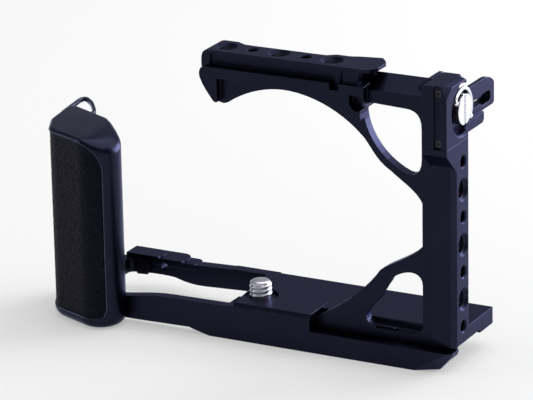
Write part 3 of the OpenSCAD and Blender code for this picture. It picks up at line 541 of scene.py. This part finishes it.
def round_hole(x, y, low, high, radius):
    """Closed upright cylinder at x and y, in millimetres."""
    around = np.linspace(0, 2 * math.pi, HOLE_SIDES, endpoint=False)
    plan = np.column_stack([x + radius * np.cos(around), y + radius * np.sin(around)]) * MM
    rings = [np.column_stack([plan, np.full(HOLE_SIDES, level * MM)]) for level in (low, high)]
    return capped(np.stack(rings))


def corner_curve(a, b, c, d):
    """Points on a cubic curve between a and d, drawn towards b and c."""
    t = np.linspace(0, 1, CURVE_POINTS)[:, None]
    a, b, c, d = (np.array(p) * MM for p in (a, b, c, d))
    return (1 - t) ** 3 * a + 3 * (1 - t) ** 2 * t * b + 3 * (1 - t) * t * t * c + t ** 3 * d


# the pad's window seen from the front in millimetres, with its rounded corners
PAD_RIGHT, PAD_LOW, PAD_HIGH = -40.1, -7.5, 44.2
HIGH_CORNER = [(-48, PAD_HIGH), (-43.7, PAD_HIGH), (PAD_RIGHT, 40.8), (PAD_RIGHT, 36.4)]
LOW_CORNER = [(-42.6, PAD_LOW), (-41, PAD_LOW), (PAD_RIGHT, -6.6), (PAD_RIGHT, -5)]
PAD_SINK, PAD_THICK = 0.35 * MM, 1.5 * MM
# the pad ends at this Y, which the plan passes before it faces this way
PAD_END_Y, PAD_LAST_TURN = 4.8 * MM, math.radians(-172.3)
# the grain's cells, and its creases' width as a share of a cell
LEATHER_CELL, CREASE_WIDTH = 0.85 * MM, 0.35
# the relief fades out over one part in this many of the pad's height
END_FADE = 60
HASH_COLUMN, HASH_ROW, HASH_SCALE, HASH_SHIFT = 127.1, 311.7, 43758.5453, 2.4


def leather_cells(across, up, size):
    """Distance to the border between cells: each cell of a square grid holds
    one point moved by a fixed hash, and the value is how much further the
    second nearest point lies than the nearest one, over the cell's size."""
    near = np.full(across.shape, np.inf)
    next_near = near.copy()
    column, row = np.floor(across / size), np.floor(up / size)
    for i in (-1, 0, 1):
        for j in (-1, 0, 1):
            seed = (column + i) * HASH_COLUMN + (row + j) * HASH_ROW
            shift_x, shift_y = ((np.sin(seed + k) * HASH_SCALE) % 1.0 for k in (0.0, HASH_SHIFT))
            gap = np.hypot(column + i + shift_x - across / size, row + j + shift_y - up / size)
            next_near = np.minimum(next_near, np.maximum(near, gap))
            near = np.minimum(near, gap)
    return next_near - near


def pad_slab(outer, inner, grow, spacing, grain=0.0):
    """Closed slab that follows the handle's wall from the pad's right edge to
    its back end, between two depths below the skin. Its lower and upper ends
    follow the rounded corners of the pad's window."""
    first = -math.acos((PAD_RIGHT * MM + grow - GRIP_CORNERS[1, 0]) / (GRIP_CORNERS[1, 2] - PAD_SINK))
    place, heading, _ = plan_path(first, PAD_LAST_TURN, spacing)
    keep = place[:, 1] < PAD_END_Y + grow
    place, heading = place[keep], heading[keep]
    x = place[:, 0] - PAD_SINK * heading[:, 0]
    high_corner = corner_curve(*HIGH_CORNER)
    low_corner = corner_curve(*LOW_CORNER)
    top = np.interp(x, high_corner[:, 0], high_corner[:, 1]) + grow
    bottom = np.interp(x, low_corner[:, 0], low_corner[:, 1]) - grow
    rows = int((PAD_HIGH - PAD_LOW) * MM / spacing)
    share = np.linspace(0, 1, rows)
    level = bottom[:, None] + (top - bottom)[:, None] * share
    cells = leather_cells(np.arange(len(x))[:, None] * spacing + 0 * level, level, LEATHER_CELL)
    crease = np.clip(cells / CREASE_WIDTH, 0, 1)
    fade = np.clip(np.minimum(share, 1 - share) * END_FADE, 0, 1)
    depth = outer + grain * (1 - crease) * fade
    front = np.concatenate([place[:, None] - depth[..., None] * heading[:, None], level[..., None]], axis=-1)
    inside = np.repeat((place - inner * heading)[:, None], 2, axis=1)
    ends = np.stack([top, bottom], axis=-1)
    back = np.concatenate([inside, ends[..., None]], axis=-1)
    return capped(np.concatenate([front, back], axis=1)), np.pad(crease, ((0, 0), (0, 2))).ravel()


def bare_object(name, points, faces, material=None):
    """A closed mesh object with its faces turned outwards."""
    mesh = array_mesh(name, points, faces)
    shape = bmesh.new()
    shape.from_mesh(mesh)
    bmesh.ops.recalc_face_normals(shape, faces=shape.faces)
    shape.to_mesh(mesh)
    shape.free()
    if material:
        mesh.materials.append(material)
    piece = bpy.data.objects.new(name, mesh)
    bpy.context.scene.collection.objects.link(piece)
    return piece


def carved(piece, shapes):
    """Cuts closed shapes out of a piece, one after the other, for good."""
    cutters = [bare_object("cutter", *shape) for shape in shapes]
    for cutter in cutters:
        cut = piece.modifiers.new("cut", "BOOLEAN")
        cut.solver = "EXACT"
        cut.object = cutter
    graph = bpy.context.evaluated_depsgraph_get()
    mesh = bpy.data.meshes.new_from_object(piece.evaluated_get(graph))
    piece.modifiers.clear()
    piece.data = mesh
    for cutter in cutters:
        bpy.data.objects.remove(cutter)
    return piece


COVER_AT, COVER_TURN = (-55.25, 5.25), math.radians(154.4)
SCREWS_AT = [(-42.6, -8.17), (-46.8, -8.17), (-52.25, -2.8), (-52.25, 0.8)]
SCREW_HEAD_LOW, SCREW_HEAD_HIGH, SCREW_HEAD_RADIUS = -12, -9.76, 1.73
SEAT_OUTSIDE, SEAT_SLACK, SEAT_GRID = 1.5 * MM, 0.05 * MM, 0.8 * MM
pad_seat, _ = pad_slab(-SEAT_OUTSIDE, PAD_SINK + PAD_THICK, SEAT_SLACK, SEAT_GRID)
# the sockets of the two arms, the cover's seat and the room for the core
front_arm_socket = block_shape((-49.05, -30), (-9.72, -6.62), (-9.55, -3.15))
back_arm_socket = block_shape((-54.05, -50.35), (-4.05, 20), (-5.8, -1.25))
cover_seat = block_shape((-5.6, 5.6), (-5, 1.6), (0.4, 40.6), COVER_AT, COVER_TURN)
core_room = block_shape((-5.0, 2.4), (1.5, 6.4), (4.2, 36.8), COVER_AT, COVER_TURN)
shell_cuts = [pad_seat, front_arm_socket, back_arm_socket, cover_seat, core_room]
shell_cuts += [round_hole(x, y, SCREW_HEAD_LOW, SCREW_HEAD_HIGH, SCREW_HEAD_RADIUS) for x, y in SCREWS_AT]
shell = carved(bare_object("handle_shell", *handle_skin(), shell_finish), shell_cuts)
softened(shell.data, 30)
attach(shell, "cage")
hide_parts("grip_shell")


LOOP_WIDTH, LOOP_LOW, LOOP_HIGH = 0.95 * MM, 43.0 * MM, 44.1 * MM
LOOP_POINTS, LOOP_PASSES = 120, 12


def strap_loop():
    """Flat loop with a rectangular section, carried round the eye's outline;
    its near side lies inside the handle's wall."""
    tip = corner_curve((-66.5, 13.3), (-67.1, 16.6), (-67.7, 20.1), (-65.4, 19.5))
    sides = [np.array(p) * MM for p in ([(-65.3, 3.6), (-66.2, 10.7)],
                                        [(-61.7, 16.2), (-58.9, 12.4), (-56.3, 8.7), (-56.8, 4.5)])]
    outline = np.concatenate([sides[0], tip, sides[1]])
    closed = np.concatenate([outline, outline[:1]])
    along = np.concatenate([[0], np.cumsum(np.linalg.norm(np.diff(closed, axis=0), axis=-1))])
    even = np.linspace(0, along[-1], LOOP_POINTS + 1)[:-1]
    rim = np.stack([np.interp(even, along, closed[:, i]) for i in (0, 1)], axis=-1)
    for _ in range(LOOP_PASSES):
        rim = (np.roll(rim, 1, axis=0) + 2 * rim + np.roll(rim, -1, axis=0)) / 4
    tangent = np.roll(rim, -1, axis=0) - np.roll(rim, 1, axis=0)
    tangent /= np.linalg.norm(tangent, axis=-1, keepdims=True)
    inward = np.stack([tangent[:, 1], -tangent[:, 0]], axis=-1)
    plans = [rim, rim, rim + LOOP_WIDTH * inward, rim + LOOP_WIDTH * inward]
    levels = [LOOP_LOW, LOOP_HIGH, LOOP_HIGH, LOOP_LOW]
    rings = np.stack([np.column_stack([p, np.full(LOOP_POINTS, z)]) for p, z in zip(plans, levels)])
    return rings, wrapped_faces(len(plans), LOOP_POINTS)


strap_eye = bare_object("strap_loop", *strap_loop(), shell_finish)
softened(strap_eye.data, 30)
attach(strap_eye, "cage")
finish_node("grip_cover", cover_finish)
finish_node("grip_core", filler)


# ----------------------------------------------------------------- handle pad
# The pad is a moulded rubber skin with a leather grain, glued into a shallow
# seat in the shell. Its grain is pressed by the mould, so it has real relief.

def rubber_skin():
    """Dark rubber with painted shade in the creases of the relief, and a fine grain."""
    material = bpy.data.materials.new("rubber_skin")
    material.use_nodes = True
    tree = material.node_tree
    shader = tree.nodes["Principled BSDF"]
    shader.inputs["Specular IOR Level"].default_value = 0.14
    shader.inputs["Specular Tint"].default_value = (0.62, 0.68, 1.0, 1.0)
    crease = add(tree, "ShaderNodeAttribute", attribute_name="crease")
    # the creases of the grain are painted darker, as the shade that falls in them
    tone = blend_colour(tree, (crease, "Fac"), (0.001, 0.0011, 0.002), (0.0045, 0.005, 0.010))
    tree.links.new(tone[0].outputs[tone[1]], shader.inputs["Base Color"])
    gloss = remap(tree, (crease, "Fac"), 0.75, 0.46)
    tree.links.new(gloss.outputs["Result"], shader.inputs["Roughness"])
    skin = grouped(tree, GRAIN, Grain=7000.0)
    bump = add(tree, "ShaderNodeBump", Height=(skin, "Height"), Strength=0.25, Distance=0.03 * MM)
    tree.links.new(bump.outputs["Normal"], shader.inputs["Normal"])
    return material


PAD_GAP, PAD_GRID, LEATHER_RELIEF = 0.03 * MM, 0.2 * MM, 0.14 * MM
pad_shape, pad_crease = pad_slab(PAD_SINK, PAD_SINK + PAD_THICK - PAD_GAP, 0.0, PAD_GRID, LEATHER_RELIEF)
pad = bare_object("grained_pad", *pad_shape, rubber_skin())
tint = pad.data.attributes.new("crease", "FLOAT", "POINT")
tint.data.foreach_set("value", pad_crease)
softened(pad.data, 60)
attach(pad, "cage")
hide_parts("grip_pad")


# ------------------------------------------------------ floor, light and view
# The part stands on a pale table that turns up into a low rim far outside. A
# broad light and a low soft box stand behind on the right, a weak one on the
# left. To the camera and in reflections the table glows as a pale background.

TABLE_GLOW = 0.38
TABLE_SIDES, RIM_RINGS = 96, 10
PART_MIDDLE = Vector((0.0, 0.0, 0.03))


def pale_paint():
    """Matt pale paint with a faint slow change of tone."""
    material = bpy.data.materials.new("pale_paint")
    material.use_nodes = True
    tree = material.node_tree
    shader = tree.nodes["Principled BSDF"]
    place = add(tree, "ShaderNodeTexCoord")
    slow = add(tree, "ShaderNodeTexNoise", Vector=(place, "Object"), Scale=3.0, Detail=2.0)
    tone = blend_colour(tree, (slow, "Fac"), (0.475, 0.475, 0.47), (0.49, 0.49, 0.485))
    tree.links.new(tone[0].outputs[tone[1]], shader.inputs["Base Color"])
    shader.inputs["Roughness"].default_value = 1.0
    shader.inputs["Specular IOR Level"].default_value = 0.0
    path = tree.nodes.new("ShaderNodeLightPath")
    seen = path.outputs["Is Camera Ray"]
    for label in ("Is Glossy Ray", "Is Transmission Ray"):
        either = tree.nodes.new("ShaderNodeMath")
        either.operation = "MAXIMUM"
        tree.links.new(seen, either.inputs[0])
        tree.links.new(path.outputs[label], either.inputs[1])
        seen = either.outputs["Value"]
    glow = add(tree, "ShaderNodeMapRange", To_Max=TABLE_GLOW)
    tree.links.new(seen, glow.inputs["Value"])
    shader.inputs["Emission Color"].default_value = (1.0, 1.0, 0.995, 1.0)
    tree.links.new(glow.outputs["Result"], shader.inputs["Emission Strength"])
    return material


def round_table(radius, rim_height, rim_width):
    """Flat disc whose rim rises as the square of the way across the rim."""
    around = np.linspace(0, 2 * math.pi, TABLE_SIDES, endpoint=False)[None, :]
    rim = radius + rim_width * np.arange(1, RIM_RINGS + 1) / RIM_RINGS
    out = np.concatenate([[MM, radius / 2, radius], rim])[:, None]
    rise = rim_height * np.clip((out - radius) / rim_width, 0, 1) ** 2
    height = cad_box[0][2] + rise + 0 * around
    points = np.stack([out * np.cos(around), out * np.sin(around), height], axis=-1)
    mesh = array_mesh("table", points, grid_faces(len(out), TABLE_SIDES)[:, ::-1])
    mesh.materials.append(pale_paint())
    table = bpy.data.objects.new("table", mesh)
    bpy.context.scene.collection.objects.link(table)
    return table


round_table(radius=3.0, rim_height=0.6, rim_width=0.6)

world = bpy.data.worlds.new("dim_room")
world.use_nodes = True
world.node_tree.nodes["Background"].inputs["Color"].default_value = (0.27, 0.27, 0.285, 1)
bpy.context.scene.world = world


def aimed(name, lamp, place):
    """Puts a lamp at a place and turns it towards the middle of the part."""
    piece = bpy.data.objects.new(name, lamp)
    aim = PART_MIDDLE - Vector(place)
    piece.matrix_world = Matrix.Translation(place) @ aim.to_track_quat("-Z", "Y").to_matrix().to_4x4()
    bpy.context.scene.collection.objects.link(piece)


broad = bpy.data.lights.new("broad_light", "SUN")
broad.energy = 2.0
broad.angle = math.radians(75)
aimed("broad_light", broad, (0.20, 0.30, 0.90))
softbox = bpy.data.lights.new("low_softbox", "AREA")
softbox.size = 0.5
softbox.energy = 8.0
softbox.color = (0.94, 0.95, 1.0)
aimed("low_softbox", softbox, (0.42, 0.62, 0.14))
fill = bpy.data.lights.new("left_fill", "AREA")
fill.size = 0.5
fill.energy = 1.4
aimed("left_fill", fill, (-0.75, -0.25, 0.30))

# the camera stands 1.05 m away, 27.8 degrees to the right and 18.8 above
YAW, PITCH, ROLL = (math.radians(a) for a in (27.800692, 18.785969, -1.144847))
DISTANCE, ASIDE, ABOVE = (d * MM for d in (1049.651, 1.5773, 26.3879))
FOCAL_PIXELS, IMAGE_WIDTH, SENSOR = 3752.955, 533, 36.0
back = Vector((math.sin(YAW) * math.cos(PITCH), -math.cos(YAW) * math.cos(PITCH), math.sin(PITCH)))
level = Vector((math.cos(YAW), math.sin(YAW), 0))
upward = back.cross(level)
right = math.cos(ROLL) * level + math.sin(ROLL) * upward
up = -math.sin(ROLL) * level + math.cos(ROLL) * upward
eye = back * DISTANCE + right * ASIDE + up * ABOVE
camera = bpy.data.objects.new("camera", bpy.data.cameras.new("camera"))
camera.data.sensor_width = SENSOR
camera.data.lens = FOCAL_PIXELS / IMAGE_WIDTH * SENSOR
camera.data.clip_start = 0.05
camera_rows = [(right[i], up[i], back[i], eye[i]) for i in range(3)]
camera.matrix_world = Matrix(camera_rows + [(0, 0, 0, 1)])
bpy.context.scene.collection.objects.link(camera)
bpy.context.scene.camera = camera
bpy.context.scene.view_settings.view_transform = "Standard"
